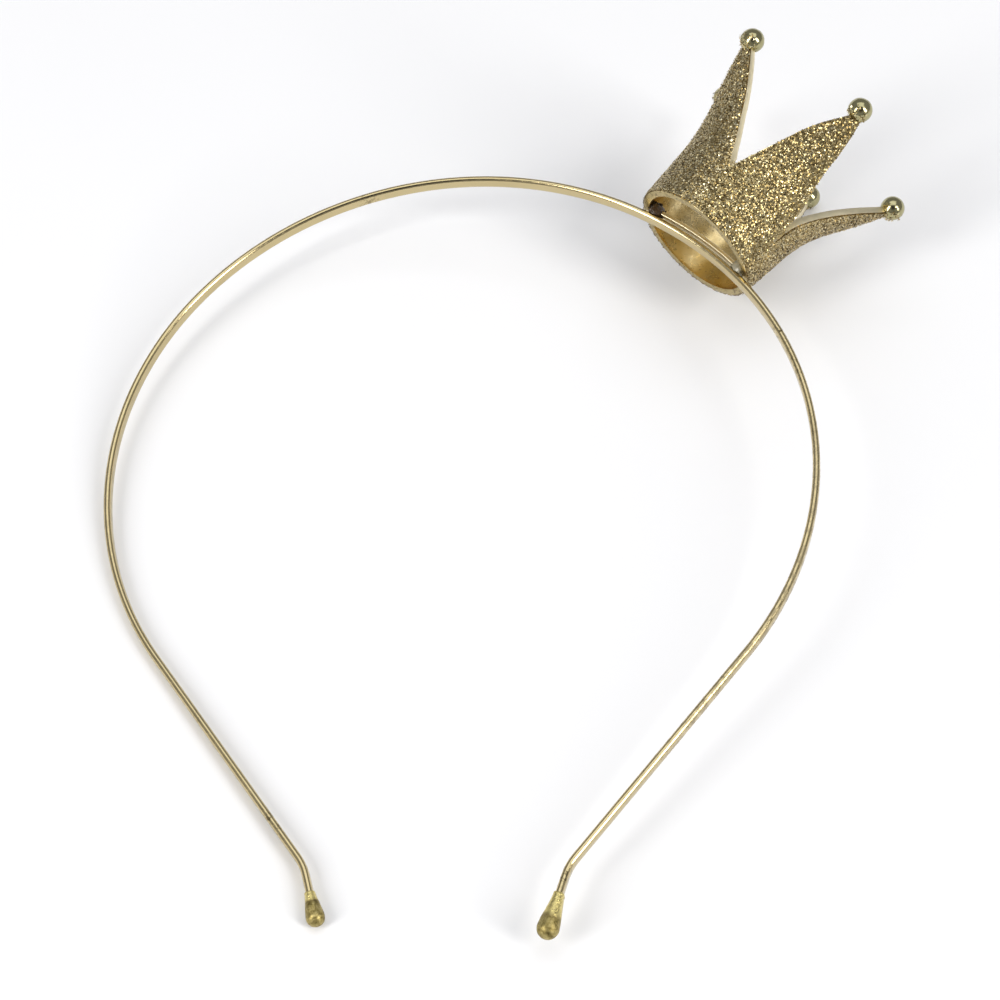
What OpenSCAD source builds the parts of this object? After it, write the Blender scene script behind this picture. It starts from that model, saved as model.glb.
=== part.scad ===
// Mini crown headband, lying as it rests: a narrow metal band with teardrop end caps,
// and a small flared crown with ball-tipped points whose outside is coated with glitter.
// Millimetres. Origin on the surface it lies on, under the middle of the whole, +Z up.

/* [Headband] */
// Width of the strip that the band is bent from
band_w = 2.5; // [2:0.1:3]
// Thickness of the strip
band_t = 1.3; // [0.9:0.1:1.8]
// Centreline radius of the arc over the top of the head
top_r = 63.5; // [58:0.5:72]
// Half angle of the top arc
top_angle = 50; // [48:1:58]
// Centreline radius of the arc at each side of the head
side_r = 59.8; // [54:0.2:66]
// Angle of each side arc
side_angle = 77.2; // [68:0.2:80]
// Straight length of each leg
leg_len = 45.5; // [30:0.5:55]
// Centreline radius of the outward bend near each end
bend_r = 10; // [6:0.5:20]
// Angle of the outward bend
bend_angle = 21; // [8:0.5:35]
// Bare strip between the bend and the cap
tip_len = 3.1; // [1:0.1:10]

/* [End caps] */
// Largest diameter of the left cap
left_cap_d = 3.3; // [3.2:0.1:5.5]
// Length of the left cap
left_cap_len = 5.8; // [5.7:0.1:12]
// Largest diameter of the right cap
right_cap_d = 3.9; // [3.4:0.1:5.5]
// Length of the right cap
right_cap_len = 7.9; // [7:0.1:12]
// Length of strip inside a cap
cap_cover = 4; // [2:0.1:4.4]
// Thickness of the cap around the strip at the cap's mouth
cap_lip = 0.2; // [0.15:0.01:0.35]

/* [Crown] */
// Place of the crown along the band, as an angle from the top
crown_angle = 40.4; // [0:0.1:42]
// Outer diameter of the base ring
crown_d = 24.8; // [22:0.1:30]
// Height from the base ring to the middle of the balls
crown_h = 31.6; // [28:0.1:36]
// Thickness of the crown's wall
crown_wall = 1.3; // [0.9:0.1:1.6]
// Lean of the wall at the base
base_lean = 4; // [1:0.1:8]
// Height at which the wall starts to flare
flare_z = 10.4; // [8:0.1:13]
// Radius of the flare
flare_r = 27; // [20:0.5:32]
// Lean of the points above the flare
point_lean = 29.3; // [22:0.1:32]
// Depth that the base ring sits below the band's outer face
crown_drop = 0.5; // [0.2:0.05:0.7]

/* [Points] */
// Number of points
points = 5; // [4:1:7]
// Height of the bottom of the notches between the points
notch_z = 10.2; // [8:0.1:13]
// Radius of the bottom of a notch
notch_r = 0.5; // [0.3:0.05:1]
// Radius of the curved sides of a notch
notch_side_r = 80; // [60:1:120]
// Number of the notch that has a slit below it, counted from the point that leans away from the front
slit_notch = 3; // [0:1:6]
// Depth of the slit
slit_deep = 3; // [1:0.1:4]
// Width of the slit
slit_w = 0.5; // [0.3:0.05:0.8]
// Width of a point just under its ball
neck_w = 2.4; // [2:0.1:3.4]
// Diameter of the balls on the points
ball_d = 4.5; // [3.8:0.1:5.5]

/* [Glitter] */
// Thickness of the glitter coat on the crown's outside
coat_t = 0.25; // [0.15:0.01:0.35]
// Bare edge around the coat
coat_edge = 0.2; // [0.1:0.05:0.5]

/* [Crossbar and glue] */
// Width of the bar across the base ring
bar_w = 2; // [1.4:0.1:2.4]
// Thickness of the bar
bar_t = 0.8; // [0.6:0.1:1]
// Gap between the band's outer face and the bar
bar_gap = 0.5; // [0.3:0.05:0.8]
// Radius of a bead of glue
glue_r = 1.9; // [1.7:0.05:2.2]
// Distance from the middle of a bead to the ring's wall
glue_in = 1; // [0.7:0.05:1.3]

/* [Hidden] */
// Smoothness of round faces
$fn = 96;
// Gap between pieces that touch
fit = 0.05;
// Largest turn between two stations of the band
turn_step = 3;
// Heights of the narrow necks under the balls and of the coat's upper end
neck_z = crown_h - 0.45 * ball_d;
coat_high = crown_h - 0.35 * ball_d;
// Angles from the top where the leg and the tip begin
leg_angle = top_angle + side_angle;
tip_angle = leg_angle - bend_angle;
// Middle of the right side arc
side_mid = (top_r - side_r) * outward(top_angle);
// Right leg, outward bend and tip, from point to point
leg_start = side_mid + side_r * outward(leg_angle);
leg_end = leg_start + leg_len * along(leg_angle);
bend_mid = leg_end + bend_r * outward(leg_angle);
bend_end = bend_mid - bend_r * outward(tip_angle);
// Mouth of the right cap, and middles of the round ends of both
cap_mouth = bend_end + tip_len * along(tip_angle);
left_cap_mid = left_at(cap_mouth + (left_cap_len - left_cap_d / 2) * along(tip_angle));
right_cap_mid = right_at(cap_mouth + (right_cap_len - right_cap_d / 2) * along(tip_angle));
// Height of the base ring's plane over the middle of the top arc
crown_base = top_r + band_t / 2 - crown_drop;
// Middle of the flare's arc, as radius and height in the crown
flare_mid = [
    crown_d / 2 + flare_z * tan(base_lean) + flare_r * cos(base_lean),
    flare_z - flare_r * sin(base_lean)
];
// Distance of the balls from the crown's axis
ball_x = wall_x(-crown_wall / 2, crown_h);
// Inner radius of the base ring
ring_in = wall_x(-crown_wall, 0);
// Centreline radius of the bar, and its half angle
bar_r = top_r + band_t / 2 + bar_gap + bar_t / 2;
bar_angle = asin((ring_in + crown_wall / 2) / bar_r);

// Unit vectors out of the loop and along it, at an angle from the top
function outward(a) = [sin(a), cos(a)];
function along(a) = [cos(a), -sin(a)];

// A flat point of the right half as a point in space, and its twin in the left half
function right_at(p, z = 0) = [p[0], p[1], z];
function left_at(p, z = 0) = [-p[0], p[1], z];

// Stations of the band from its left end to its right end, each a flat point and an angle from the top
strip_end = bend_end + (tip_len + cap_cover) * along(tip_angle);
function steps(from, to) =
    let (count = ceil(abs(to - from) / turn_step))
    [for (i = [1:count]) from + (to - from) * i / count];
right_stations = [
    for (a = steps(0, top_angle)) [top_r * outward(a), a],
    for (a = steps(top_angle, leg_angle)) [side_mid + side_r * outward(a), a],
    [leg_end, leg_angle],
    for (a = steps(leg_angle, tip_angle)) [bend_mid - bend_r * outward(a), a],
    [strip_end, tip_angle]
];
stations = [
    for (i = [len(right_stations) - 1:-1:0])
        let (s = right_stations[i]) [[-s[0][0], s[0][1]], -s[1]],
    [[0, top_r], 0],
    each right_stations
];

// Section of the strip with round edges: x out of the loop, y across the strip
edge_z = (band_w - band_t) / 2;
strip_outline = [
    for (a = [0:30:180]) [band_t / 2 * cos(a), edge_z + band_t / 2 * sin(a)],
    for (a = [180:30:360]) [band_t / 2 * cos(a), -edge_z + band_t / 2 * sin(a)]
];

// Point at an angle on the flare's arc, at a distance outside the crown's wall
function flare_at(d, a) = flare_mid + (flare_r - d) * [-cos(a), sin(a)];

// Radius of the crown at a height below or above the flare, at a distance outside its wall
function wall_x(d, z) =
    let (lean = z < flare_at(d, base_lean)[1] ? base_lean : point_lean)
    let (from = flare_at(d, lean))
    from[0] + (z - from[1]) * tan(lean);

// One side of the wall's half section: straight, then the flare's arc, then straight
function wall_side(d, z_low, z_high) = [
    [wall_x(d, z_low), z_low],
    for (i = [0:8]) flare_at(d, base_lean + (point_lean - base_lean) * i / 8),
    [wall_x(d, z_high), z_high]
];

// Middle of ball k, counted from the point that leans away from the front
function ball_at(k) =
    let (a = 90 + k * 360 / points)
    let (x = ball_x * cos(a) * along(crown_angle), h = (crown_base + crown_h) * outward(crown_angle))
    right_at(x + h, -ball_x * sin(a));

// Half widths and heights of a notch in the wall's outer face: round bottom, then an arc past the balls
function notch_shape(grow) =
    let (r = notch_r + grow, low = [r, notch_z + notch_r])
    let (high = [wall_x(0, neck_z) * sin(180 / points) - neck_w / 2 + grow, neck_z])
    let (half = (high - low) / 2, rise = sqrt(notch_side_r ^ 2 - half * half))
    let (mid = low + half + rise / norm(half) * [half[1], -half[0]], top = crown_h + notch_r)
    let (from = asin((low[1] - mid[1]) / notch_side_r), to = asin((top - mid[1]) / notch_side_r))
    [
        for (a = [-80:20:-20]) r * [cos(a), sin(a)] + [0, low[1]],
        for (i = [0:8]) let (a = from + (to - from) * i / 8) mid + notch_side_r * [-cos(a), sin(a)]
    ];

// The same for the slit below a notch
function slit_shape(grow) =
    [for (z = [notch_z - slit_deep - grow, notch_z + notch_r]) [slit_w / 2 + grow, z]];

// Ring of a notch's cutter through a point of that shape: it narrows towards the middle of the balls
function notch_ring(p) =
    let (x = sqrt(wall_x(0, p[1]) ^ 2 - p[0] ^ 2), near = ring_in / 2 / x, far = 2 * ball_x / x)
    [for (c = [[near, -1], [far, -1], [far, 1], [near, 1]]) c[0] * [x, c[1] * p[0], p[1] - crown_h]];

// Upward unit normal of the plane under three round ends
function plane_under(p1, r1, p2, r2, p3, r3) =
    let (u = p2 - p1, v = p3 - p1, w = cross(u, v))
    let (lean = (cross(v, w) * (r2 - r1) + cross(w, u) * (r3 - r1)) / (w * w))
    lean + w / norm(w) * sign(w[2]) * sqrt(1 - lean * lean);

// What the part can rest on: the ball that leans away, the left cap, the left side, the right cap
low_ball = ball_at(0);
function lowest_side(n) =
    let (a = min(leg_angle, max(top_angle, atan2(n[0], -n[1]))))
    left_at(side_mid + side_r * outward(a), -edge_z);
function on_side(n, steps) =
    let (side = lowest_side(n))
    let (next = plane_under(low_ball, ball_d / 2, left_cap_mid, left_cap_d / 2, side, band_t / 2))
    steps == 0 ? n : on_side(next, steps - 1);
function on_caps() =
    plane_under(low_ball, ball_d / 2, left_cap_mid, left_cap_d / 2, right_cap_mid, right_cap_d / 2);

// It rests on its left side where its centre of mass is left of the line from ball to left cap
crown_share = 0.66;
crown_mass_mid = (crown_base + crown_h / 2) * outward(crown_angle);
band_mass_mid = [0, -top_r / 5];
mass_mid = crown_share * crown_mass_mid + (1 - crown_share) * band_mass_mid;
leans_left = cross(low_ball - left_cap_mid, right_at(mass_mid) - left_cap_mid)[2] > 0;
up = leans_left ? on_side([0.1, 0.1, 1], 12) : on_caps();
rest_h = up * low_ball - ball_d / 2;
rest_axis = cross(up, [0, 0, 1]) / norm(cross(up, [0, 0, 1]));
rest_tilt = acos(up[2]);

// A point or direction turned so that the plane under the part is level
function turned(p) =
    let (axis = rest_axis, c = cos(rest_tilt), s = sin(rest_tilt))
    p * c + cross(axis, p) * s + axis * (axis * p) * (1 - c);

// Reach of an arc of the band from its middle, along an axis of the levelled part
loop_up = turned([0, 0, 1]);
function reach(r, axis) = r * sqrt(1 - loop_up[axis] ^ 2) + band_t / 2 + edge_z * abs(loop_up[axis]);
balls = [for (k = [0:points - 1]) turned(ball_at(k))];
x_min = min(turned(left_at(side_mid))[0] - reach(side_r, 0), min([for (b = balls) b[0]]) - ball_d / 2);
x_max = max(turned(right_at(side_mid))[0] + reach(side_r, 0), max([for (b = balls) b[0]]) + ball_d / 2);
y_min = min(turned(left_cap_mid)[1] - left_cap_d / 2, turned(right_cap_mid)[1] - right_cap_d / 2);
y_max = max(reach(top_r, 1), max([for (b = balls) b[1]]) + ball_d / 2);

// Lays the part down and centres it
module lay() {
    translate([-(x_min + x_max) / 2, -(y_min + y_max) / 2, -rest_h])
        rotate(a = rest_tilt, v = rest_axis)
            children();
}

// Hollow that clears the strip by the gap, as a flat section
module strip_hollow() {
    square([band_t + 2 * fit, 2 * edge_z], center = true);
    for (side = [-1, 1])
        translate([0, side * edge_z])
            circle(d = band_t + 2 * fit);
}

// Arc of the loop with a given section, between two angles from the top
module loop_arc(mid, r, from, to) {
    translate(mid)
        rotate(90 - to)
            rotate_extrude(angle = to - from)
                translate([r, 0])
                    children();
}

// Solid through closed rings of points, one after the other
module through(rings) {
    count = len(rings[0]);
    last = len(rings) - 1;
    polyhedron(
        [for (ring = rings) each ring],
        [
            for (i = [0:last - 1], j = [0:count - 1])
                let (a = i * count, b = a + count, next = (j + 1) % count) [a + j, b + j, b + next, a + next],
            [for (j = [0:count - 1]) j],
            [for (j = [count - 1:-1:0]) last * count + j]
        ]
    );
}

module band() {
    color("#d8c07c")
        lay()
            through([
                for (s = stations)
                    [for (q = strip_outline) right_at(s[0] + q[0] * outward(s[1]), q[1])]
            ]);
}

// Half outline of a teardrop cap along y, with straight sides that run into its round end
module cap_outline(cap_d, cap_len) {
    r = cap_d / 2;
    mouth = band_w / 2 + fit + cap_lip;
    mid = cap_len - r;
    a = atan2(mid, mouth) - acos(r / norm([mouth, mid]));
    polygon([[0, 0], [mouth, 0], [r * cos(a), mid - r * sin(a)], [0, mid]]);
    intersection() {
        translate([0, mid])
            circle(r);
        translate([0, mid - r * sin(a)])
            square([r, 2 * r]);
    }
}

// Cap at the right leg's end: a teardrop flattened towards its mouth, with a socket for the strip
module end_cap(cap_d, cap_len) {
    mouth = band_t / 2 + fit + cap_lip;
    translate(cap_mouth)
        rotate([90, 0, 90 - tip_angle])
            difference() {
                rotate_extrude()
                    cap_outline(cap_d, cap_len);
                for (side = [0, 180])
                    rotate(side)
                        rotate([90, 0, 0])
                            linear_extrude(2 * cap_d, center = true)
                                polygon([[mouth, -1], [cap_d, -1], [cap_d, 2 * cap_len], [mouth, 0]]);
                translate([0, 0, -1])
                    linear_extrude(cap_cover + fit + 1)
                        strip_hollow();
            }
}

module left_end_cap() {
    color("#a8843c")
        lay()
            mirror([1, 0, 0])
                end_cap(left_cap_d, left_cap_len);
}

module right_end_cap() {
    color("#a8843c")
        lay()
            end_cap(right_cap_d, right_cap_len);
}

// Stands what follows on the band, with its axis out of the loop
module on_band() {
    rotate(-crown_angle)
        translate([0, crown_base, 0])
            rotate([-90, 0, 0])
                children();
}

// Half section of the crown's wall between two distances outside it, from one height to another
module wall_section(d_in, d_out, z_low, z_high) {
    inner = wall_side(d_in, z_low, z_high);
    outer = wall_side(d_out, z_low, z_high);
    polygon(concat(inner, [for (i = [len(outer) - 1:-1:0]) outer[i]]));
}

// Cutters for the notches between the points, grown by a width
module notches(grow = 0) {
    for (k = [0:points - 1])
        rotate(90 + (k + 0.5) * 360 / points)
            translate([0, 0, crown_h]) {
                through([for (p = notch_shape(grow)) notch_ring(p)]);
                if (k == slit_notch)
                    through([for (p = slit_shape(grow)) notch_ring(p)]);
            }
}

// The balls on the points, with a given diameter
module ball_set(d) {
    for (k = [0:points - 1])
        rotate(90 + k * 360 / points)
            translate([ball_x, 0, crown_h])
                sphere(d = d);
}

// Crossbar that follows the band inside the base ring
module crossbar(grow = 0) {
    loop_arc([0, 0], bar_r, crown_angle - bar_angle, crown_angle + bar_angle)
        square([bar_t + 2 * grow, bar_w + 2 * grow], center = true);
}

module crown() {
    color("#b8985a")
        lay() {
            on_band() {
                difference() {
                    rotate_extrude()
                        wall_section(-crown_wall, 0, 0, crown_h);
                    notches();
                }
                ball_set(ball_d);
            }
            crossbar();
        }
}

module glitter_coat() {
    color("#c2a566")
        lay()
            on_band()
                difference() {
                    rotate_extrude()
                        wall_section(fit, fit + coat_t, coat_edge, coat_high);
                    notches(coat_edge);
                    ball_set(ball_d + 2 * fit);
                }
}

// Bead of glue round an end of the crossbar, between the band and the ring's wall
module glue(side) {
    a = crown_angle + side * asin((ring_in - glue_in) / bar_r);
    lay()
        difference() {
            intersection() {
                translate(bar_r * outward(a))
                    sphere(glue_r);
                on_band()
                    translate([0, 0, -2 * glue_r])
                        cylinder(
                            h = 4 * glue_r,
                            r1 = wall_x(-crown_wall - fit, -2 * glue_r),
                            r2 = wall_x(-crown_wall - fit, 2 * glue_r)
                        );
            }
            loop_arc([0, 0], top_r, a - 10, a + 10)
                strip_hollow();
            crossbar(fit);
        }
}

module left_glue() {
    color("#5a4426")
        glue(-1);
}

module right_glue() {
    color("#8f8a66")
        glue(1);
}

band();
left_end_cap();
right_end_cap();
crown();
glitter_coat();
left_glue();
right_glue();
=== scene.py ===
"""Looks of the mini crown headband: pale gold strip, worn caps, small crown coated with glitter flakes.

Shapes are worked out in millimetres in the loop's own frame (x right, y to the top of the head,
z across the strip, origin at the middle of the top arc), then laid down as the headband rests.
"""

import math

import bmesh
import bpy
import numpy as np
from mathutils import Matrix, Vector, noise


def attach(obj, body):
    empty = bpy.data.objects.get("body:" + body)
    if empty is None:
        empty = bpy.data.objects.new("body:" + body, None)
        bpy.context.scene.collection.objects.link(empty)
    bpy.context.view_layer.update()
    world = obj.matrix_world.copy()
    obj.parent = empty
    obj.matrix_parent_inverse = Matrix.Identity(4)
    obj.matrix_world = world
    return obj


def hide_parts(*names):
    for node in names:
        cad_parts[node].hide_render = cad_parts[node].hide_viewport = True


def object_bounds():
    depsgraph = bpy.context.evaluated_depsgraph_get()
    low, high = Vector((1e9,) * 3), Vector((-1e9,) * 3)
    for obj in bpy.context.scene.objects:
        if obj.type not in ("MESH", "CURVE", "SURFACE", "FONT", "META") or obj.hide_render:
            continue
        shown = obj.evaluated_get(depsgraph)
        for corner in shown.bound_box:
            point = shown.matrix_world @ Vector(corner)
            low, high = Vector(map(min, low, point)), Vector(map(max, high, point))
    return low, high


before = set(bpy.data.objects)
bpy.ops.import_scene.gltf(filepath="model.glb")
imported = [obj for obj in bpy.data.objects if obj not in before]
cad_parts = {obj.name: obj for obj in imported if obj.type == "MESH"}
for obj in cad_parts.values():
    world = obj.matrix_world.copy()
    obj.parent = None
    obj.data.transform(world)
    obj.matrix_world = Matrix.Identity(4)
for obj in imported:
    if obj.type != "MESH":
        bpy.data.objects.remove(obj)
cad_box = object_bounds()

MM = 0.001
SEED = 7

# How the headband lies: turn and shift of the loop's frame, in millimetres
REST_TILT = math.radians(8.38708)
REST_AXIS = Vector((0.519884, -0.854237, 0.0))
LOOP_MIDDLE = Vector((-8.2354, -2.0927, 10.1388))
LAY = Matrix.Translation(LOOP_MIDDLE) @ Matrix.Rotation(REST_TILT, 4, REST_AXIS)

# Headband
BAND_W, BAND_T = 2.5, 1.3
TOP_R, TOP_ANGLE = 63.5, math.radians(50)
SIDE_R, SIDE_ANGLE = 59.8, math.radians(77.2)
LEG_LEN, BEND_R, BEND_ANGLE, TIP_LEN = 45.5, 10.0, math.radians(21), 3.1

# End caps
CAP_COVER, CAP_LIP = 4.0, 0.2
LEFT_CAP_D, LEFT_CAP_LEN = 3.3, 5.8
RIGHT_CAP_D, RIGHT_CAP_LEN = 3.9, 7.9
# Length of each cap that is bright, from its mouth
LEFT_CAP_BRIGHT, RIGHT_CAP_BRIGHT = 1.6, 4.1

# Crown
CROWN_ANGLE = math.radians(40.4)
CROWN_D, CROWN_H, CROWN_WALL = 24.8, 31.6, 1.3
BASE_LEAN, POINT_LEAN = math.radians(4), math.radians(29.3)
FLARE_Z, FLARE_R, CROWN_DROP = 10.4, 27.0, 0.5
POINTS, NOTCH_Z, NOTCH_R, NOTCH_SIDE_R, NECK_W, BALL_D = 5, 10.2, 0.5, 80.0, 2.4, 4.5
SLIT_NOTCH, SLIT_DEEP, SLIT_W = 3, 3.0, 0.5
NECK_Z = CROWN_H - 0.45 * BALL_D
# Hand-finished notch sides: notch, side, height, spread and change of the half width there
UNEVEN = (
    (3, -1, 14.5, 4.5, -1.0),
    (3, -1, 8.5, 1.8, -0.35),
    (3, -1, 30.0, 8.0, -0.35),
    (3, 1, 9.5, 2.5, 0.7),
    (3, 1, 30.0, 4.0, 0.5),
    (2, 1, 30.0, 4.5, 0.65),
    (2, -1, 10.5, 1.5, -0.3),
    (2, -1, 18.5, 3.5, 0.25),
)
FIT, COAT_EDGE = 0.05, 0.2
BAR_W, BAR_T, BAR_GAP = 2.0, 0.8, 0.5
# Rounding of the casting's sharp edges
EDGE_ROUND = 0.14

# Glitter: thickness of the lacquer, spacing of the flakes, their least and largest radius,
# how unevenly they lie, and how many are tried on each ball
LACQUER_T = 0.12
FLAKE_STEP = 0.215
FLAKE_R = (0.115, 0.18)
FLAKE_TILT = 0.26
SPILLED_ON_BALL = 420

# Glue: size of the mesh's cells, height of the lumps and how far the bead stays inside its solid
GLUE_CELL, GLUE_LUMP, GLUE_INSET = 0.11, 0.16, 0.12

LEG_ANGLE = TOP_ANGLE + SIDE_ANGLE
TIP_ANGLE = LEG_ANGLE - BEND_ANGLE


def outward(a):
    """Unit vector out of the loop at an angle from the top."""
    return np.array([math.sin(a), math.cos(a)])


def along(a):
    """Unit vector along the band at an angle from the top, towards the right end."""
    return np.array([math.cos(a), -math.sin(a)])


SIDE_MIDDLE = (TOP_R - SIDE_R) * outward(TOP_ANGLE)
LEG_START = SIDE_MIDDLE + SIDE_R * outward(LEG_ANGLE)
LEG_END = LEG_START + LEG_LEN * along(LEG_ANGLE)
BEND_MIDDLE = LEG_END + BEND_R * outward(LEG_ANGLE)
BEND_END = BEND_MIDDLE - BEND_R * outward(TIP_ANGLE)
CAP_MOUTH = BEND_END + TIP_LEN * along(TIP_ANGLE)

# Lengths along the band from its top to where each stretch ends
RUN_TOP = TOP_R * TOP_ANGLE
RUN_SIDE = RUN_TOP + SIDE_R * SIDE_ANGLE
RUN_LEG = RUN_SIDE + LEG_LEN
RUN_BEND = RUN_LEG + BEND_R * BEND_ANGLE
RUN_END = RUN_BEND + TIP_LEN + CAP_COVER

CROWN_BASE = TOP_R + BAND_T / 2 - CROWN_DROP
FLARE_X = CROWN_D / 2 + FLARE_Z * math.tan(BASE_LEAN) + FLARE_R * math.cos(BASE_LEAN)
FLARE_LOW = FLARE_Z - FLARE_R * math.sin(BASE_LEAN)
BAR_R = TOP_R + BAND_T / 2 + BAR_GAP + BAR_T / 2
NOTCH_LOW = NOTCH_Z + NOTCH_R
HALF_SECTOR = math.pi / POINTS
# Takes the crown's own frame, with its axis along z, to the loop's frame
STAND = (
    Matrix.Rotation(-CROWN_ANGLE, 4, "Z")
    @ Matrix.Translation((0, CROWN_BASE, 0))
    @ Matrix.Rotation(math.radians(-90), 4, "X")
)


def wall_x(d, z):
    """Radius of the crown at a height, at a distance outside its wall."""
    r = FLARE_R - d
    low = FLARE_LOW + r * math.sin(BASE_LEAN)
    high = FLARE_LOW + r * math.sin(POINT_LEAN)
    if z < low:
        return FLARE_X - r * math.cos(BASE_LEAN) + (z - low) * math.tan(BASE_LEAN)
    if z > high:
        return FLARE_X - r * math.cos(POINT_LEAN) + (z - high) * math.tan(POINT_LEAN)
    return FLARE_X - math.sqrt(r * r - (z - FLARE_LOW) ** 2)


def wall_lean(z):
    """Lean of the crown's outer wall at a height."""
    a = math.asin(min(1.0, max(0.0, (z - FLARE_LOW) / FLARE_R)))
    return min(POINT_LEAN, max(BASE_LEAN, a))


BALL_X = wall_x(-CROWN_WALL / 2, CROWN_H)
RING_IN = wall_x(-CROWN_WALL, 0)


def notch_bottom(notch, grow=0.0):
    """Height of the lowest place of a notch, grown by a width."""
    return NOTCH_Z - grow - (SLIT_DEEP if notch == SLIT_NOTCH else 0.0)


def notch_arc(z, grow):
    """Half width of every notch at a height: round bottom, then an arc."""
    if z < NOTCH_LOW:
        r = NOTCH_R + grow
        return math.sqrt(max(0.0, r * r - (NOTCH_LOW - z) ** 2))
    low = np.array([NOTCH_R + grow, NOTCH_LOW])
    high = np.array([wall_x(0, NECK_Z) * math.sin(HALF_SECTOR) - NECK_W / 2 + grow, NECK_Z])
    half = (high - low) / 2
    rise = math.sqrt(NOTCH_SIDE_R ** 2 - half @ half)
    middle = low + half + rise / np.linalg.norm(half) * np.array([half[1], -half[0]])
    return middle[0] - math.sqrt(NOTCH_SIDE_R ** 2 - (z - middle[1]) ** 2)


def notch_half(z, notch, side, grow=0.0):
    """Half width of one notch at a height on one side of its middle, with its slit and unevenness."""
    above = z - notch_bottom(notch, grow)
    if above <= 0:
        return 0.0
    half = notch_arc(z, grow)
    if notch == SLIT_NOTCH:
        half = max(half, (SLIT_W / 2 + grow) * math.sqrt(min(1.0, above / 0.25)))
    for number, which, place, spread, change in UNEVEN:
        if (number, which) == (notch, side):
            half += change * math.exp(-(((z - place) / spread) ** 2)) * min(1.0, above / 0.4)
    return half


def point_edges(k, z, grow=0.0):
    """Angles of a point's two edges from its middle at a height, towards the notches beside it."""
    radius = wall_x(0, z)
    before = HALF_SECTOR - math.asin(min(1.0, notch_half(z, (k - 1) % POINTS, 1, grow) / radius))
    after = HALF_SECTOR - math.asin(min(1.0, notch_half(z, k, -1, grow) / radius))
    return before, after


def cut_height(z, d, bottom):
    """Height at a distance outside the wall, on or below a cut that aims at the middle of the balls."""
    if z < bottom:
        return z * cut_height(bottom, d, bottom) / bottom
    slope = (z - CROWN_H) / wall_x(0, z)
    h = z
    for _ in range(12):
        h = CROWN_H + slope * wall_x(d, h)
    return h


def laid(points, matrix=None):
    """Points in millimetres, in the loop's frame or one that a matrix takes to it, as metres as it lies."""
    m = np.array(LAY @ matrix if matrix else LAY)
    return (np.asarray(points, float) @ m[:3, :3].T + m[:3, 3]) * MM


def new_object(name, mesh):
    """An object that shows a mesh, linked to the scene."""
    made = bpy.data.objects.new(name, mesh)
    bpy.context.scene.collection.objects.link(made)
    return made


def mesh_object(name, points, faces, smooth=True):
    """An object with a mesh of given points and faces."""
    mesh = bpy.data.meshes.new(name)
    mesh.from_pydata([tuple(p) for p in points], [], faces)
    mesh.validate()
    made = new_object(name, mesh)
    if smooth:
        mesh.polygons.foreach_set("use_smooth", [True] * len(mesh.polygons))
    return made


def point_values(piece, name, values):
    """Gives each point of a piece a number that its material can read."""
    attribute = piece.data.attributes.new(name, "FLOAT", "POINT")
    attribute.data.foreach_set("value", np.asarray(values, np.float32))


def weld(piece):
    """Joins points that coincide and turns the faces outward."""
    bm = bmesh.new()
    bm.from_mesh(piece.data)
    bmesh.ops.remove_doubles(bm, verts=bm.verts, dist=0.002 * MM)
    bmesh.ops.recalc_face_normals(bm, faces=bm.faces)
    bm.to_mesh(piece.data)
    bm.free()


def round_edges(piece, width):
    """Rounds the sharp edges of a piece a little."""
    rounding = piece.modifiers.new("rounding", "BEVEL")
    rounding.width = width * MM
    rounding.segments = 2
    rounding.limit_method = "ANGLE"
    rounding.angle_limit = math.radians(35)
    rounding.harden_normals = False


# Materials


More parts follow.
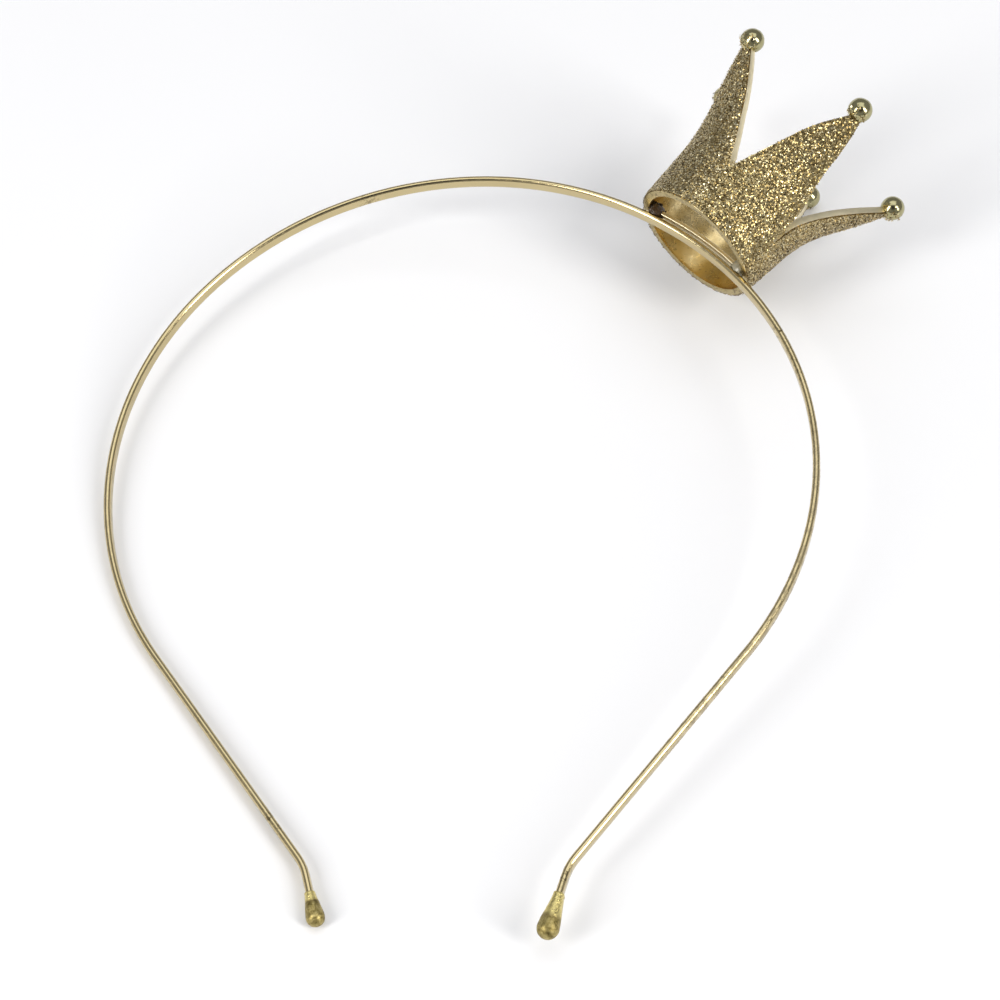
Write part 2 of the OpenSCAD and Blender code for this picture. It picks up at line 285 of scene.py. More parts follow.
class Paint:
    """Builds the node tree of one procedural material."""

    def __init__(self, name, **uniform):
        self.material = bpy.data.materials.new(name)
        self.material.use_nodes = True
        self.nodes = self.material.node_tree.nodes
        self.links = self.material.node_tree.links
        self.shader = self.nodes["Principled BSDF"]
        for socket, value in uniform.items():
            self.shader.inputs[socket.replace("_", " ")].default_value = value
        self.place = self.nodes.new("ShaderNodeTexCoord").outputs["Object"]

    def feed(self, socket, source):
        """Sets an input by a number, a colour or another node's output."""
        if isinstance(source, bpy.types.NodeSocket):
            self.links.new(source, socket)
        else:
            socket.default_value = source

    def noise(self, scale, detail=3.0, rough=0.55, twist=0.0):
        """Soft noise whose features are about 1 / scale metres."""
        node = self.nodes.new("ShaderNodeTexNoise")
        self.links.new(self.place, node.inputs["Vector"])
        node.inputs["Scale"].default_value = scale
        node.inputs["Detail"].default_value = detail
        node.inputs["Roughness"].default_value = rough
        node.inputs["Distortion"].default_value = twist
        return node.outputs["Fac"]

    def cells(self, scale):
        """Distance to the cells of a random pattern."""
        node = self.nodes.new("ShaderNodeTexVoronoi")
        self.links.new(self.place, node.inputs["Vector"])
        node.inputs["Scale"].default_value = scale
        return node.outputs["Distance"]

    def value(self, name):
        """A number that the mesh carries at each point."""
        node = self.nodes.new("ShaderNodeAttribute")
        node.attribute_name = name
        return node.outputs["Fac"]

    def ramp(self, source, *stops):
        """Maps a number to a colour by stops, each a place and a colour."""
        node = self.nodes.new("ShaderNodeValToRGB")
        self.links.new(source, node.inputs["Fac"])
        elements = node.color_ramp.elements
        while len(elements) < len(stops):
            elements.new(0.5)
        for element, (place, colour) in zip(elements, stops):
            element.position = place
            element.color = (*colour, 1.0) if isinstance(colour, tuple) else (colour, colour, colour, 1.0)
        return node.outputs["Color"]

    def span(self, source, low, high, to_low, to_high):
        """Maps a number from one range to another, clamped."""
        node = self.nodes.new("ShaderNodeMapRange")
        self.feed(node.inputs["Value"], source)
        for name, number in zip(("From Min", "From Max", "To Min", "To Max"), (low, high, to_low, to_high)):
            node.inputs[name].default_value = number
        return node.outputs["Result"]

    def math(self, kind, a, b):
        """One sum of two numbers."""
        node = self.nodes.new("ShaderNodeMath")
        node.operation = kind
        node.use_clamp = kind in ("MULTIPLY", "ADD")
        self.feed(node.inputs[0], a)
        self.feed(node.inputs[1], b)
        return node.outputs["Value"]

    def mix(self, share, a, b, kind="MIX"):
        """Mixes two colours."""
        node = self.nodes.new("ShaderNodeMix")
        node.data_type = "RGBA"
        node.blend_type = kind
        self.feed(node.inputs[0], share)
        self.feed(node.inputs[6], a if isinstance(a, bpy.types.NodeSocket) else (*a, 1.0))
        self.feed(node.inputs[7], b if isinstance(b, bpy.types.NodeSocket) else (*b, 1.0))
        return node.outputs[2]

    def bump(self, height, depth, strength=0.5, under=None):
        """Bump of a depth in millimetres, on top of another bump."""
        node = self.nodes.new("ShaderNodeBump")
        node.inputs["Strength"].default_value = strength
        node.inputs["Distance"].default_value = depth * MM
        self.links.new(height, node.inputs["Height"])
        if under:
            self.links.new(under, node.inputs["Normal"])
        return node.outputs["Normal"]

    def finish(self, colour=None, rough=None, normal=None):
        """Connects what was made to the shader."""
        for name, source in (("Base Color", colour), ("Roughness", rough), ("Normal", normal)):
            if source is not None:
                self.links.new(source, self.shader.inputs[name])
        return self.material


def band_paint():
    """Pale gold plating with dull worn patches, fine rubs and dark specks where the band is tarnished."""
    p = Paint("band_gold", Metallic=1.0)
    gold = p.mix(p.noise(120, 2), (0.64, 0.53, 0.30), (0.54, 0.44, 0.23))
    worn = p.math("MULTIPLY", p.value("wear"), p.ramp(p.noise(420, 4, 0.65), (0.42, 0.0), (0.58, 1.0)))
    gold = p.mix(worn, gold, (0.40, 0.33, 0.19))
    speck = p.ramp(p.noise(1500, 3, 0.6), (0.5, 0.0), (0.6, 1.0))
    dark = p.math("MULTIPLY", p.value("tarnish"), speck)
    gold = p.mix(dark, gold, (0.12, 0.09, 0.04))
    rough = p.span(p.noise(900, 4, 0.6), 0.3, 0.7, 0.11, 0.23)
    rough = p.math("ADD", rough, p.math("MULTIPLY", worn, 0.22))
    fine = p.bump(p.noise(2600, 3, 0.6), 0.02, 0.35)
    return p.finish(gold, rough, p.bump(p.noise(260, 2), 0.08, 0.35, fine))


def cap_paint():
    """Rough amber gold with dark mottles, brighter and smoother towards the cap's mouth, with a dark seam
    ring past the bright neck and painted shade inside the socket.
    """
    p = Paint("cap_gold", Metallic=1.0)
    mottle = p.noise(1300, 4, 0.7, 0.6)
    gold = p.ramp(mottle, (0.32, (0.13, 0.10, 0.03)), (0.5, (0.35, 0.28, 0.10)), (0.68, (0.54, 0.45, 0.20)))
    bright = p.mix(p.noise(900, 3, 0.6), (0.78, 0.66, 0.28), (0.58, 0.48, 0.18))
    gold = p.mix(p.value("mouth"), gold, bright)
    # Dark seam ring past the bright neck; the socket's inside and the mouth's inner edge are painted dark
    # as shade
    gold = p.mix(p.value("seam_and_socket_shade"), gold, (0.14, 0.10, 0.04))
    rough = p.span(p.noise(1800, 3), 0.3, 0.7, 0.3, 0.55)
    rough = p.math("SUBTRACT", rough, p.math("MULTIPLY", p.value("mouth"), 0.14))
    coarse = p.bump(mottle, 0.16, 0.8)
    return p.finish(gold, rough, p.bump(p.noise(3600, 3, 0.6), 0.04, 0.5, coarse))


def crown_paint():
    """Polished plating of the crown's bare metal, warmer and stained inside the ring."""
    p = Paint("crown_gold", Metallic=1.0)
    gold = p.mix(p.noise(160, 2), (0.84, 0.72, 0.45), (0.74, 0.61, 0.34))
    patches = p.ramp(p.noise(200, 3, 0.5, 0.5), (0.28, 0.2), (0.6, 1.0))
    stain = p.math("MULTIPLY", p.value("inside"), patches)
    gold = p.mix(stain, gold, (0.66, 0.46, 0.15))
    pits = p.ramp(p.noise(1700, 3, 0.6), (0.62, 0.0), (0.72, 1.0))
    gold = p.mix(pits, gold, (0.25, 0.18, 0.07))
    rough = p.span(p.noise(700, 4, 0.6), 0.3, 0.7, 0.13, 0.27)
    rough = p.math("ADD", rough, p.math("MULTIPLY", p.value("inside"), 0.10))
    fine = p.bump(p.noise(2200, 3, 0.6), 0.02, 0.35)
    return p.finish(gold, rough, p.bump(p.noise(210, 2), 0.12, 0.4, fine))


def rim_paint():
    """Dull olive gold of the base ring's face, with dark specks."""
    p = Paint("rim_gold", Metallic=1.0)
    gold = p.mix(p.noise(500, 3, 0.6), (0.54, 0.44, 0.22), (0.38, 0.30, 0.13))
    speck = p.ramp(p.noise(1900, 3, 0.6), (0.56, 0.0), (0.64, 1.0))
    gold = p.mix(speck, gold, (0.17, 0.12, 0.05))
    rough = p.span(p.noise(1100, 3, 0.6), 0.3, 0.7, 0.24, 0.42)
    return p.finish(gold, rough, p.bump(p.noise(1500, 3, 0.6), 0.04, 0.5))


def cut_paint():
    """Pale filed metal of the cut faces and of the crossbar."""
    p = Paint("cut_gold", Metallic=1.0)
    gold = p.mix(p.noise(600, 3, 0.6), (0.93, 0.84, 0.60), (0.80, 0.70, 0.46))
    rough = p.span(p.noise(1300, 3, 0.6), 0.3, 0.7, 0.34, 0.5)
    return p.finish(gold, rough, p.bump(p.noise(1700, 3, 0.6), 0.03, 0.45))


def shaded_ball_paint():
    """Greenish dark gold of the cast balls, lightly pitted: a darker copy of the casting's gold, painted
    shade for the dark surroundings the balls reflect.
    """
    p = Paint("ball_gold_painted_shade", Metallic=1.0)
    # Darker and greener than the crown's own gold: painted shade for the dark surroundings mirrored in the
    # balls
    gold = p.mix(p.noise(700, 3, 0.6), (0.50, 0.46, 0.26), (0.34, 0.31, 0.16))
    rough = p.span(p.noise(1500, 3, 0.6), 0.3, 0.7, 0.10, 0.24)
    return p.finish(gold, rough, p.bump(p.noise(1400, 3, 0.6), 0.05, 0.5))


def base_paint():
    """Dark gold lacquer between the flakes."""
    p = Paint("glitter_base", Metallic=0.7)
    gold = p.ramp(p.noise(2600, 3, 0.6), (0.35, (0.12, 0.08, 0.03)), (0.65, (0.36, 0.27, 0.11)))
    rough = p.span(p.noise(1900, 2), 0.3, 0.7, 0.35, 0.6)
    return p.finish(gold, rough, p.bump(p.cells(2400), 0.1, 0.8))


def flake_paint():
    """Metallic flakes of mixed tones, from brown gold to pale silvery yellow."""
    p = Paint("glitter_flakes", Metallic=1.0)
    tone = p.ramp(
        p.value("tone"),
        (0.0, (0.25, 0.18, 0.07)),
        (0.35, (0.44, 0.35, 0.16)),
        (0.75, (0.61, 0.52, 0.29)),
        (1.0, (0.80, 0.75, 0.52)),
    )
    tone = p.mix(p.value("copper"), tone, p.mix(1.0, tone, (0.94, 0.84, 0.70), "MULTIPLY"))
    rough = p.span(p.noise(2500, 2), 0.3, 0.7, 0.18, 0.36)
    return p.finish(tone, rough, p.bump(p.noise(5200, 2), 0.02, 0.3))


def dark_glue_paint():
    """Dark brown glossy glue."""
    p = Paint("glue_dark", IOR=1.5, Coat_Weight=0.15, Coat_Roughness=0.06)
    brown = p.mix(p.noise(900, 3, 0.6, 0.5), (0.035, 0.020, 0.010), (0.13, 0.08, 0.04))
    rough = p.span(p.noise(800, 2), 0.3, 0.7, 0.08, 0.24)
    return p.finish(brown, rough, p.bump(p.noise(700, 2, 0.5, 1.6), 0.6, 0.8))


def pale_glue_paint():
    """Greenish half clear glue with dull spots."""
    p = Paint("glue_pale", IOR=1.48, Coat_Weight=0.5, Coat_Roughness=0.08, Transmission_Weight=0.25)
    green = p.mix(p.noise(1100, 3, 0.6, 0.5), (0.42, 0.38, 0.24), (0.62, 0.58, 0.44))
    rough = p.span(p.noise(900, 2), 0.3, 0.7, 0.12, 0.34)
    return p.finish(green, rough, p.bump(p.noise(1200, 2, 0.5, 0.8), 0.25, 0.6))


# Headband


def path_at(run):
    """Point on the band's middle line and its angle from the top, at a length from the top."""
    side = -1.0 if run < 0 else 1.0
    run = abs(run)
    if run <= RUN_TOP:
        a = run / TOP_R
        p = TOP_R * outward(a)
    elif run <= RUN_SIDE:
        a = TOP_ANGLE + (run - RUN_TOP) / SIDE_R
        p = SIDE_MIDDLE + SIDE_R * outward(a)
    elif run <= RUN_LEG:
        a = LEG_ANGLE
        p = LEG_START + (run - RUN_SIDE) * along(a)
    elif run <= RUN_BEND:
        a = LEG_ANGLE - (run - RUN_LEG) / BEND_R
        p = BEND_MIDDLE - BEND_R * outward(a)
    else:
        a = TIP_ANGLE
        p = BEND_END + (run - RUN_BEND) * along(a)
    return np.array([side * p[0], p[1]]), side * a


def stadium(width, thick, per_end=11):
    """Closed outline of a strip with round edges: out of the loop, then across the strip."""
    r = thick / 2
    edge = (width - thick) / 2
    turns = [math.pi * i / (per_end - 1) for i in range(per_end)]
    upper = [(r * math.cos(t), edge + r * math.sin(t)) for t in turns]
    flat = [(-r, edge * (1 - 2 * i / 4)) for i in (1, 2, 3)]
    lower = [(-r * math.cos(t), -edge - r * math.sin(t)) for t in turns]
    back = [(r, -edge * (1 - 2 * i / 4)) for i in (1, 2, 3)]
    return upper + flat + lower + back


def tube_faces(rings, count, cap_ends=True):
    """Faces of a tube of rings that each have the same count of points."""
    faces = []
    for i in range(rings - 1):
        for j in range(count):
            a, b, n = i * count, (i + 1) * count, (j + 1) % count
            faces.append((a + j, a + n, b + n, b + j))
    if cap_ends:
        faces.append(tuple(reversed(range(count))))
        faces.append(tuple(range((rings - 1) * count, rings * count)))
    return faces


# Tarnish and wear on the band: length from the top, spread along the band, amount
TARNISH = (
    (-174, 2.5, 0.9),
    (-150, 1.5, 0.5),
    (70, 2.0, 0.9),
    (78, 5.0, 0.55),
    (90, 4.0, 0.5),
    (185, 1.8, 0.9),
    (-20, 2.0, 0.6),
)
WEAR = ((128, 22, 1.0), (150, 12, 0.8), (100, 14, 0.5), (-100, 20, 0.35))


def spots(run, rows):
    """Amount at a length along the band, from rows of place, spread and amount."""
    total = sum(amount * math.exp(-(((run - place) / spread) ** 2)) for place, spread, amount in rows)
    return min(1.0, total)


def make_band():
    """The strip swept along the loop, with slight unevenness of the hand-bent wire."""
    outline = stadium(BAND_W, BAND_T)
    count = len(outline)
    steps = 560
    points, tarnish, wear = [], [], []
    for i in range(steps + 1):
        run = -RUN_END + 2 * RUN_END * i / steps
        p, a = path_at(run)
        out = outward(a)
        wave = 0.985 + 0.012 * noise.noise(Vector((run * 0.12, 3.0, 0.0)))
        for u, v in outline:
            points.append((p[0] + u * out[0] * wave, p[1] + u * out[1] * wave, v))
        tarnish += [spots(run, TARNISH)] * count
        wear += [spots(run, WEAR)] * count
    band = mesh_object("band_strip", laid(points), tube_faces(steps + 1, count))
    point_values(band, "tarnish", tarnish)
    point_values(band, "wear", wear)
    band.data.materials.append(band_paint())
    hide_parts("band")
    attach(band, "root")


# End caps


def cap_rings(width, length):
    """Rings of a cap from deep in its socket, out over the lip and along the outside to its round end.
    Each row: distance from the mouth, half width, half thickness, share of the round section."""
    lip_w = BAND_W / 2 + FIT + CAP_LIP
    lip_t = BAND_T / 2 + FIT + CAP_LIP
    r = width / 2
    middle = length - r
    rows = [(CAP_COVER + FIT, BAND_W / 2 + FIT, BAND_T / 2 + FIT, 0.0)]
    rows += [(z, BAND_W / 2 + FIT, BAND_T / 2 + FIT, 0.0) for z in (2.5, 1.0, 0.15)]
    rows += [(0.04, BAND_W / 2 + FIT + 0.04, BAND_T / 2 + FIT + 0.04, 0.0)]
    rows += [(0.0, lip_w - 0.08, lip_t - 0.08, 0.0), (0.06, lip_w, lip_t, 0.0)]
    for i in range(1, 17):
        t = i / 16
        swell = t * t * (3 - 2 * t) * 0.4 + 0.6 * t
        half_w, half_t = lip_w + (r - lip_w) * swell, lip_t + (r - lip_t) * swell
        rows.append((middle * t, half_w, half_t, min(1.0, t * 1.3)))
    for i in range(1, 12):
        a = math.pi / 2 * i / 12
        rows.append((middle + r * math.sin(a), r * math.cos(a), r * math.cos(a), 1.0))
    return rows


def make_cap(name, node, side, width, length, bright, seed):
    """One end cap: a flattened teardrop with a socket, bright near its mouth and lumpy as if cast."""
    turns = 48
    socket_rows = 4
    points, mouth, seam_and_socket_shade = [], [], []
    rows = cap_rings(width, length)
    for index, (z, half_w, half_t, round_share) in enumerate(rows):
        for j in range(turns):
            t = 2 * math.pi * j / turns
            c, s = math.cos(t), math.sin(t)
            edge = half_w - half_t
            shift = math.copysign(edge, s) if abs(s) > 1e-9 else 0.0
            flat = np.array([half_t * c, half_t * s + shift])
            oval = np.array([half_t * c, half_w * s])
            u, v = flat * (1 - round_share) + oval * round_share
            if index > socket_rows + 2:
                lump = noise.noise(Vector((u * 0.9 + seed, v * 0.9, z * 0.9)))
                u, v = u * (1 + 0.03 * lump - 0.03), v * (1 + 0.03 * lump - 0.03)
            points.append((z, u, v))
            mouth.append(min(1.0, max(0.0, (bright - z) / 0.9 + 0.5)) if index > socket_rows else 0.0)
            dark = math.exp(-(((z - bright - 0.2) / 0.22) ** 2))
            # Dark seam ring just past the bright neck, and painted shade over the whole inside of the
            # socket and its mouth edge
            seam_and_socket_shade.append(1.0 if index <= socket_rows or 0.0 < z < 0.05 else 0.8 * dark)
    faces = tube_faces(len(rows), turns, cap_ends=False)
    faces.append(tuple(range(turns)))
    tip = len(points)
    points.append((length, 0.0, 0.0))
    mouth.append(0.0)
    seam_and_socket_shade.append(0.0)
    last = (len(rows) - 1) * turns
    faces += [(last + j, last + (j + 1) % turns, tip) for j in range(turns)]
    out, on = outward(TIP_ANGLE), along(TIP_ANGLE)
    placed = []
    for z, u, v in points:
        x, y = CAP_MOUTH + z * on + u * out
        placed.append((side * x, y, v))
    cap = mesh_object(name, laid(placed), faces)
    point_values(cap, "mouth", mouth)
    point_values(cap, "seam_and_socket_shade", seam_and_socket_shade)
    weld(cap)
    cap.data.materials.append(cap_paint())
    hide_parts(node)
    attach(cap, "root")


# Crown


def wall_row(k, d, z, grow, columns):
    """Points of the wall across one point of the crown, from one notch to the next."""
    middle = math.pi / 2 + 2 * HALF_SECTOR * k
    before, after = point_edges(k, z, grow)
    plain = cut_height(z, d, NOTCH_Z - grow)
    row = []
    for j in range(columns + 1):
        t = 2 * j / columns - 1
        notch = k if t > 0 else (k - 1) % POINTS
        own = cut_height(z, d, notch_bottom(notch, grow)) if notch == SLIT_NOTCH else plain
        h = plain + (own - plain) * abs(t)
        a = middle + t * (after if t > 0 else before)
        r = wall_x(d, h)
        row.append((r * math.cos(a), r * math.sin(a), h))
    return row


def shell(d_in, d_out, heights, grow=0.0, columns=22):
    """Points and faces of the notched wall between two distances outside it, in the crown's frame."""
    points, faces = [], []
    rows = len(heights)
    wide = columns + 1

    def at(sector, layer, row, column):
        return ((sector * 2 + layer) * rows + row) * wide + column

    for k in range(POINTS):
        for d in (d_in, d_out):
            for z in heights:
                points += wall_row(k, d, z, grow, columns)
    for k in range(POINTS):
        for i in range(rows - 1):
            for j in range(columns):
                for layer in (0, 1):
                    low, high = at(k, layer, i, j), at(k, layer, i + 1, j)
                    outer = (low, low + 1, high + 1, high)
                    faces.append(outer if layer else (low, high, high + 1, low + 1))
            for j, notch in ((0, (k - 1) % POINTS), (columns, k)):
                if heights[i + 1] > notch_bottom(notch, grow):
                    below = (at(k, 0, i, j), at(k, 1, i, j))
                    above = (at(k, 1, i + 1, j), at(k, 0, i + 1, j))
                    faces.append((*below, *above))
        for j in range(columns):
            for i in (0, rows - 1):
                faces.append((at(k, 0, i, j), at(k, 0, i, j + 1), at(k, 1, i, j + 1), at(k, 1, i, j)))
    return points, faces


def wall_heights(low, high, grow=0.0):
    """Heights of the wall's rows, closer together round the bottoms of the slit and the notches."""
    slit = notch_bottom(SLIT_NOTCH, grow)
    bottom = NOTCH_LOW - (NOTCH_R + grow)
    under = np.linspace(low, slit, 13)
    beside = [slit + 0.03, slit + 0.1, *np.linspace(slit + 0.25, bottom, 9)]
    curve = [NOTCH_LOW - (NOTCH_R + grow) * math.cos(math.radians(a)) for a in (12, 25, 40, 56, 73, 90)]
    return [*under, *beside, *curve, *np.linspace(NOTCH_LOW, high, 46)[1:]]


def add_shape(points, faces, more_points, more_faces):
    """Adds one shape's points and faces to another's."""
    start = len(points)
    points.extend(tuple(p) for p in more_points)
    faces.extend(tuple(start + i for i in f) for f in more_faces)


def ball_shape(k):
    """A ball with the slight dents of a casting, in the crown's frame."""
    bm = bmesh.new()
    bmesh.ops.create_icosphere(bm, subdivisions=4, radius=BALL_D / 2)
    a = math.pi / 2 + 2 * HALF_SECTOR * k
    middle = Vector((BALL_X * math.cos(a), BALL_X * math.sin(a), CROWN_H))
    for v in bm.verts:
        dent = noise.noise(v.co * 0.8 + Vector((k * 9.0, 0, 0)))
        v.co = v.co * (1 - 0.012 + 0.012 * dent) + middle
    bm.verts.ensure_lookup_table()
    points = [tuple(v.co) for v in bm.verts]
    faces = [tuple(v.index for v in f.verts) for f in bm.faces]
    bm.free()
    return points, faces


def bar_shape():
    """The crossbar, in the loop's frame: it follows the band and tapers at its right end."""
    half_angle = math.asin((RING_IN + CROWN_WALL / 2) / BAR_R)
    steps = 48
    r = 0.18
    points = []
    for i in range(steps + 1):
        t = i / steps
        a = CROWN_ANGLE - half_angle + 2 * half_angle * t
        taper = 1 - 0.55 * max(0.0, (t - 0.72) / 0.28) ** 1.4
        w, h = BAR_W / 2 * taper, BAR_T / 2
        w *= 1 + 0.03 * noise.noise(Vector((t * 14, 0, 5)))
        corners = ((h - r, w - r), (-h + r, w - r), (-h + r, -w + r), (h - r, -w + r))
        for c, (u0, v0) in enumerate(corners):
            for step in range(4):
                q = math.pi / 2 * (c + step / 3)
                u, v = u0 + r * math.cos(q), v0 + r * math.sin(q)
                p = (BAR_R + u) * outward(a)
                points.append((p[0], p[1], v))
    return points, tube_faces(steps + 1, 16)


def wall_kind(face, points, depths):
    """Number of a wall face's material: 2 on the base ring's face, 3 on a cut, 0 elsewhere."""
    if max(depths[i] for i in face) - min(depths[i] for i in face) < CROWN_WALL / 2:
        return 0
    return 2 if max(points[i][2] for i in face) < 0.01 else 3


def make_crown():
    """The casting: flared wall with five points, a ball on each, and the crossbar."""
    points, faces = [], []
    wall_points, wall_faces = shell(-CROWN_WALL, 0.0, wall_heights(0.0, CROWN_H))
    add_shape(points, faces, wall_points, wall_faces)
    wall_count = len(faces)
    for k in range(POINTS):
        add_shape(points, faces, *ball_shape(k))
    ball_count = len(faces)
    to_crown = np.array(STAND.inverted())
    bar_points, bar_faces = bar_shape()
    bar_points = np.array(bar_points) @ to_crown[:3, :3].T + to_crown[:3, 3]
    add_shape(points, faces, bar_points, bar_faces)
    crown = mesh_object("crown_casting", laid(points, STAND), faces)
    for material in (crown_paint(), shaded_ball_paint(), rim_paint(), cut_paint()):
        crown.data.materials.append(material)
    depths = [wall_x(0, min(z, CROWN_H)) - math.hypot(x, y) for x, y, z in points]
    kinds = [wall_kind(face, points, depths) for face in faces[:wall_count]]
    kinds += [1] * (ball_count - wall_count) + [3] * (len(faces) - ball_count)
    crown.data.polygons.foreach_set("material_index", kinds)
    inside = []
    for (x, y, z), depth in zip(points, depths):
        inside.append(min(1.0, max(0.0, depth / CROWN_WALL)) * min(1.0, max(0.0, 1.25 - z / 13)))
    point_values(crown, "inside", inside)
    weld(crown)
    round_edges(crown, EDGE_ROUND)
    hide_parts("crown")
    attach(crown, "root")


# Glitter


def make_coat():
    """The thin bumpy coat that holds the flakes."""
    heights = wall_heights(COAT_EDGE, CROWN_H - 0.35 * BALL_D, COAT_EDGE)
    points, faces = shell(FIT, FIT + LACQUER_T, heights, COAT_EDGE)
    coat = mesh_object("glitter_lacquer", laid(points, STAND), faces)
    weld(coat)
    coat.data.materials.append(base_paint())
    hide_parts("glitter_coat")
    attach(coat, "root")


def wall_sites(rng):
    """Places for flakes on the coat: rows of point, outward normal and the point's number."""
    sites = []
    z = COAT_EDGE
    row = 0
    while z < CROWN_H - 0.5:
        lean = wall_lean(z)
        radius = wall_x(FIT + 0.1, z)
        for k in range(POINTS):
            before, after = point_edges(k, z, COAT_EDGE * 0.5)
            middle = math.pi / 2 + 2 * HALF_SECTOR * k + (after - before) / 2
            half = (after + before) / 2
            count = max(1, round(2 * half * radius / FLAKE_STEP))
            for j in range(count):
                slot = (j + 0.5 + 0.5 * (row % 2) - 0.25 + rng.uniform(-0.3, 0.3)) / count
                a = middle + half * (2 * min(1.0, max(0.0, slot)) - 1)
                h = z + rng.uniform(-0.1, 0.1)
                r = wall_x(FIT + 0.1, h)
                normal = (math.cos(a) * math.cos(lean), math.sin(a) * math.cos(lean), -math.sin(lean))
                sites.append(((r * math.cos(a), r * math.sin(a), h), normal, k))
        z += FLAKE_STEP * 0.87 * math.cos(lean)
        row += 1
    return sites


def ball_sites(rng):
    """Places for the flakes that spilled over the lower outer side of the balls."""
    sites = []
    for k in range(POINTS):
        a = math.pi / 2 + 2 * HALF_SECTOR * k
        middle = np.array([BALL_X * math.cos(a), BALL_X * math.sin(a), CROWN_H])
        spill = np.array([0.45 * math.cos(a), 0.45 * math.sin(a), -0.9])
        for _ in range(SPILLED_ON_BALL):
            d = rng.normal(size=3)
            d /= np.linalg.norm(d)
            reach = float(d @ spill)
            if reach > 0.30 + 0.5 * rng.random():
                sites.append((tuple(middle + d * (BALL_D / 2 + 0.03)), tuple(d), k))
    return sites


def flakes_in_box(points):
    """Corners of the flakes that stay above the floor and inside the part's box, and which those are."""
    low, high = (np.array(c) for c in cad_box)
    low[2] = 0.02 * MM
    points = points.reshape(-1, 6, 3)
    clear = np.all((points > low) & (points < high), axis=(1, 2))
    return points[clear].reshape(-1, 3), clear


# How pale and how coppery the flakes are on each of the crown's points
FLAKE_PALE = np.array([-0.10, -0.10, 0.15, -0.10, 0.08])
FLAKE_COPPER = np.array([0.25, 0.25, 0.6, 0.25, 0.75])


def make_flakes():
    """Real six-sided flakes that lie on the coat at slightly different angles."""
    rng = np.random.default_rng(SEED)
    sites = wall_sites(rng) + ball_sites(rng)
    count = len(sites)
    centre = np.array([s[0] for s in sites])
    normal = np.array([s[1] for s in sites])
    which = np.array([s[2] for s in sites])
    normal /= np.linalg.norm(normal, axis=1)[:, None]
    centre += normal * rng.uniform(0.02, 0.22, count)[:, None]
    tilt = rng.normal(scale=FLAKE_TILT, size=(count, 3))
    facing = normal + tilt - normal * np.sum(tilt * normal, axis=1)[:, None]
    facing /= np.linalg.norm(facing, axis=1)[:, None]
    side = np.cross(facing, rng.normal(size=(count, 3)))
    side /= np.linalg.norm(side, axis=1)[:, None]
    other = np.cross(facing, side)
    size = rng.uniform(*FLAKE_R, count)
    corners = []
    for i in range(6):
        a = math.pi / 3 * i
        corners.append(centre + (side * math.cos(a) + other * math.sin(a)) * size[:, None])
    points = laid(np.stack(corners, axis=1).reshape(-1, 3), STAND)
    points, clear = flakes_in_box(points)
    count = int(clear.sum())
    which = which[clear]
    faces = [tuple(range(i * 6, i * 6 + 6)) for i in range(count)]
    flakes = mesh_object("glitter_flakes", points, faces, smooth=False)
    tone = rng.random(count) + FLAKE_PALE[which]
    copper = FLAKE_COPPER[which] + rng.normal(scale=0.25, size=count)
    point_values(flakes, "tone", np.repeat(np.clip(tone, 0, 1), 6))
    point_values(flakes, "copper", np.repeat(np.clip(copper, 0, 1), 6))
    flakes.data.materials.append(flake_paint())
    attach(flakes, "root")


# Glue


def make_glue(name, node, material, seed):
    """A bead of glue: the node's own shape made smooth and slightly lumpy."""
    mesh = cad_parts[node].data.copy()
    mesh.name = name
    glue = new_object(name, mesh)
    mesh.materials.clear()
    remesh = glue.modifiers.new("remesh", "REMESH")
    remesh.mode = "VOXEL"
    remesh.voxel_size = GLUE_CELL * MM
    smooth = glue.modifiers.new("smooth", "SMOOTH")
    smooth.factor = 0.6
    smooth.iterations = 5
    graph = bpy.context.evaluated_depsgraph_get()
    shaped = bpy.data.meshes.new_from_object(glue.evaluated_get(graph))
    glue.modifiers.clear()
    glue.data = shaped
    for v in shaped.vertices:
        lump = noise.noise(v.co * 900 + Vector((seed, 0, 0)))
        v.co = v.co + v.normal * (GLUE_LUMP * lump - GLUE_INSET) * MM
    shaped.polygons.foreach_set("use_smooth", [True] * len(shaped.polygons))
    shaped.materials.clear()
    shaped.materials.append(material)
    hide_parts(node)
    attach(glue, "root")


# Floor, light and camera

AIR_LOW, AIR_HIGH = (0.36, 0.365, 0.38), (0.26, 0.265, 0.28)
# Dark patch of the air: direction, angles at which it starts and is darkest, and share of light left there
DARK_TOWARD = (0.0, -0.53, 0.85)
DARK_FROM, DARK_FULL, DARK_LEFT = math.radians(30), math.radians(14), 0.15
# Soft boxes: name, azimuth, elevation, distance and size in metres, power in watts, colour
SOFT_BOXES = (
    ("box_left", -58, 37, 1.3, (0.34, 0.9), 9.5, (1.0, 0.98, 0.95)),
    ("box_right", 62, 39, 1.3, (0.34, 0.9), 9.5, (1.0, 0.98, 0.95)),
    ("box_top", 180, 75, 1.8, (1.8, 1.4), 9.5, (0.97, 0.98, 1.0)),
)
# The photograph's camera in the loop's frame: place in millimetres, directions, and lens and sensor
CAMERA_AT = (64.23, -228.95, 419.69)
CAMERA_RIGHT = Vector((0.99291185, 0.04186977, -0.11123394))
CAMERA_UP = Vector((0.01556808, 0.88201378, 0.47096638))
CAMERA_BACK = Vector((0.11782912, -0.46935979, 0.8751101))
LENS, SENSOR = 99.0, 36.0


def make_floor():
    """A wide plain pale floor."""
    size = 3.0
    corners = [(-size, -size, 0), (size, -size, 0), (size, size, 0), (-size, size, 0)]
    floor = mesh_object("floor", corners, [(0, 1, 2, 3)])
    p = Paint("floor_white", Roughness=0.9, Specular_IOR_Level=0.1)
    white = p.mix(p.noise(6, 2), (0.90, 0.905, 0.92), (0.92, 0.925, 0.94))
    floor.data.materials.append(p.finish(white))


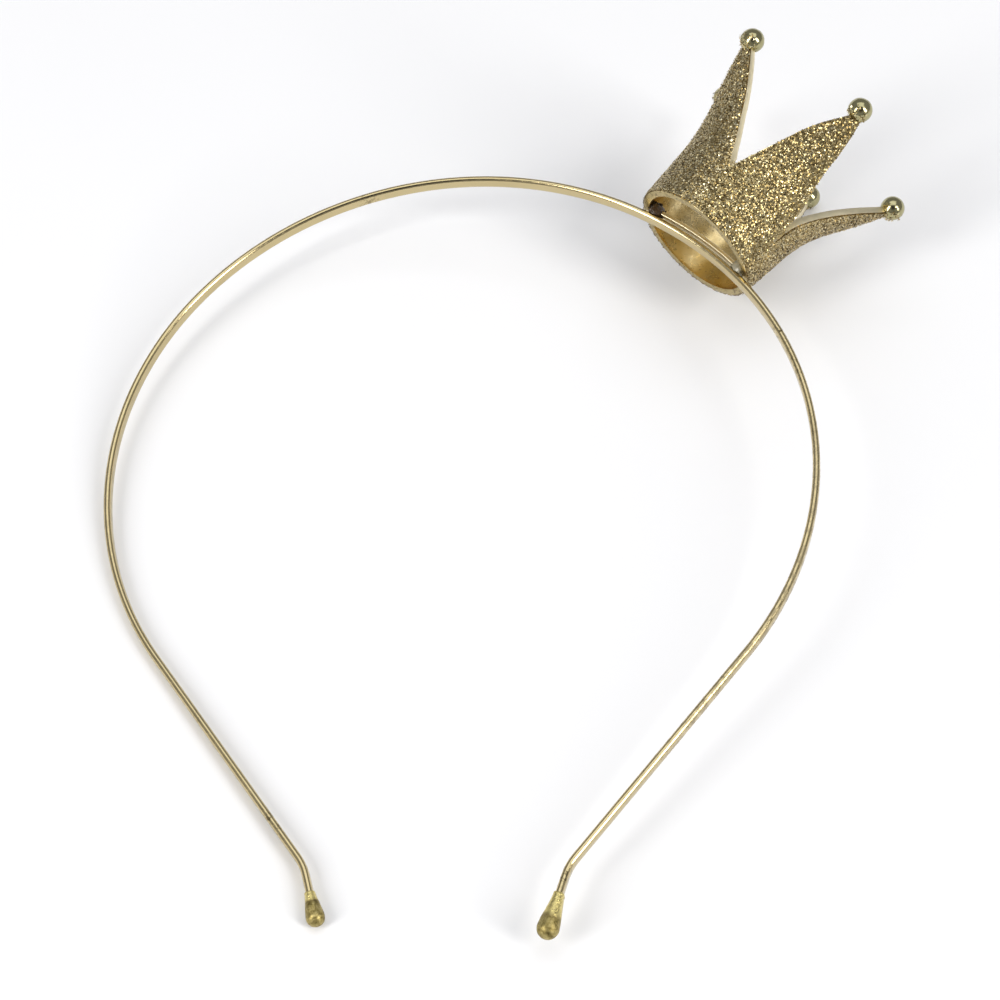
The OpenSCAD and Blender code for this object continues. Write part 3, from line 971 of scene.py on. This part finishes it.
def make_light(name, azimuth, elevation, distance, size, power, colour):
    """A soft box aimed at the headband. Azimuth 0 is the camera's side and 90 the right."""
    a, e = math.radians(azimuth), math.radians(elevation)
    away = Vector((math.sin(a) * math.cos(e), -math.cos(a) * math.cos(e), math.sin(e)))
    data = bpy.data.lights.new(name, "AREA")
    data.shape = "RECTANGLE"
    data.size, data.size_y = size
    data.energy = power
    data.color = colour
    lamp = new_object(name, data)
    lamp.location = away * distance
    lamp.rotation_mode = "QUATERNION"
    lamp.rotation_quaternion = away.to_track_quat("Z", "Y")


def make_world():
    """Dim studio air: paler towards the horizon, with a dark patch high in front."""
    world = bpy.data.worlds.new("studio")
    bpy.context.scene.world = world
    world.use_nodes = True
    nodes, links = world.node_tree.nodes, world.node_tree.links
    place = nodes.new("ShaderNodeTexCoord").outputs["Generated"]
    split = nodes.new("ShaderNodeSeparateXYZ")
    links.new(place, split.inputs["Vector"])
    air = nodes.new("ShaderNodeValToRGB")
    links.new(split.outputs["Z"], air.inputs["Fac"])
    air.color_ramp.elements[0].position = 0.0
    air.color_ramp.elements[0].color = (*AIR_LOW, 1)
    air.color_ramp.elements[1].position = 1.0
    air.color_ramp.elements[1].color = (*AIR_HIGH, 1)
    toward = nodes.new("ShaderNodeVectorMath")
    toward.operation = "DOT_PRODUCT"
    links.new(place, toward.inputs[0])
    toward.inputs[1].default_value = DARK_TOWARD
    patch = nodes.new("ShaderNodeMapRange")
    links.new(toward.outputs["Value"], patch.inputs["Value"])
    patch.inputs["From Min"].default_value = math.cos(DARK_FROM)
    patch.inputs["From Max"].default_value = math.cos(DARK_FULL)
    patch.inputs["To Min"].default_value = 1.0
    patch.inputs["To Max"].default_value = DARK_LEFT
    background = nodes["Background"]
    links.new(air.outputs["Color"], background.inputs["Color"])
    links.new(patch.outputs["Result"], background.inputs["Strength"])


def make_camera():
    """The photograph's own viewpoint, given in the loop's frame."""
    data = bpy.data.cameras.new("camera")
    data.lens, data.sensor_width = LENS, SENSOR
    data.clip_start, data.clip_end = 0.01, 20.0
    camera = new_object("camera", data)
    turn = LAY.to_3x3() @ Matrix((CAMERA_RIGHT, CAMERA_UP, CAMERA_BACK)).transposed()
    camera.rotation_mode = "QUATERNION"
    camera.rotation_quaternion = turn.to_quaternion()
    camera.location = Vector(laid([CAMERA_AT])[0])
    bpy.context.scene.camera = camera


def make_stage():
    """Floor, lights, world and camera."""
    make_floor()
    make_world()
    for row in SOFT_BOXES:
        make_light(*row)
    make_camera()
    bpy.context.scene.view_settings.view_transform = "Standard"


make_band()
make_cap("left_cap", "left_end_cap", -1, LEFT_CAP_D, LEFT_CAP_LEN, LEFT_CAP_BRIGHT, 2.0)
make_cap("right_cap", "right_end_cap", 1, RIGHT_CAP_D, RIGHT_CAP_LEN, RIGHT_CAP_BRIGHT, 11.0)
make_crown()
make_coat()
make_flakes()
make_glue("left_glue_bead", "left_glue", dark_glue_paint(), 3.0)
make_glue("right_glue_bead", "right_glue", pale_glue_paint(), 8.0)
make_stage()
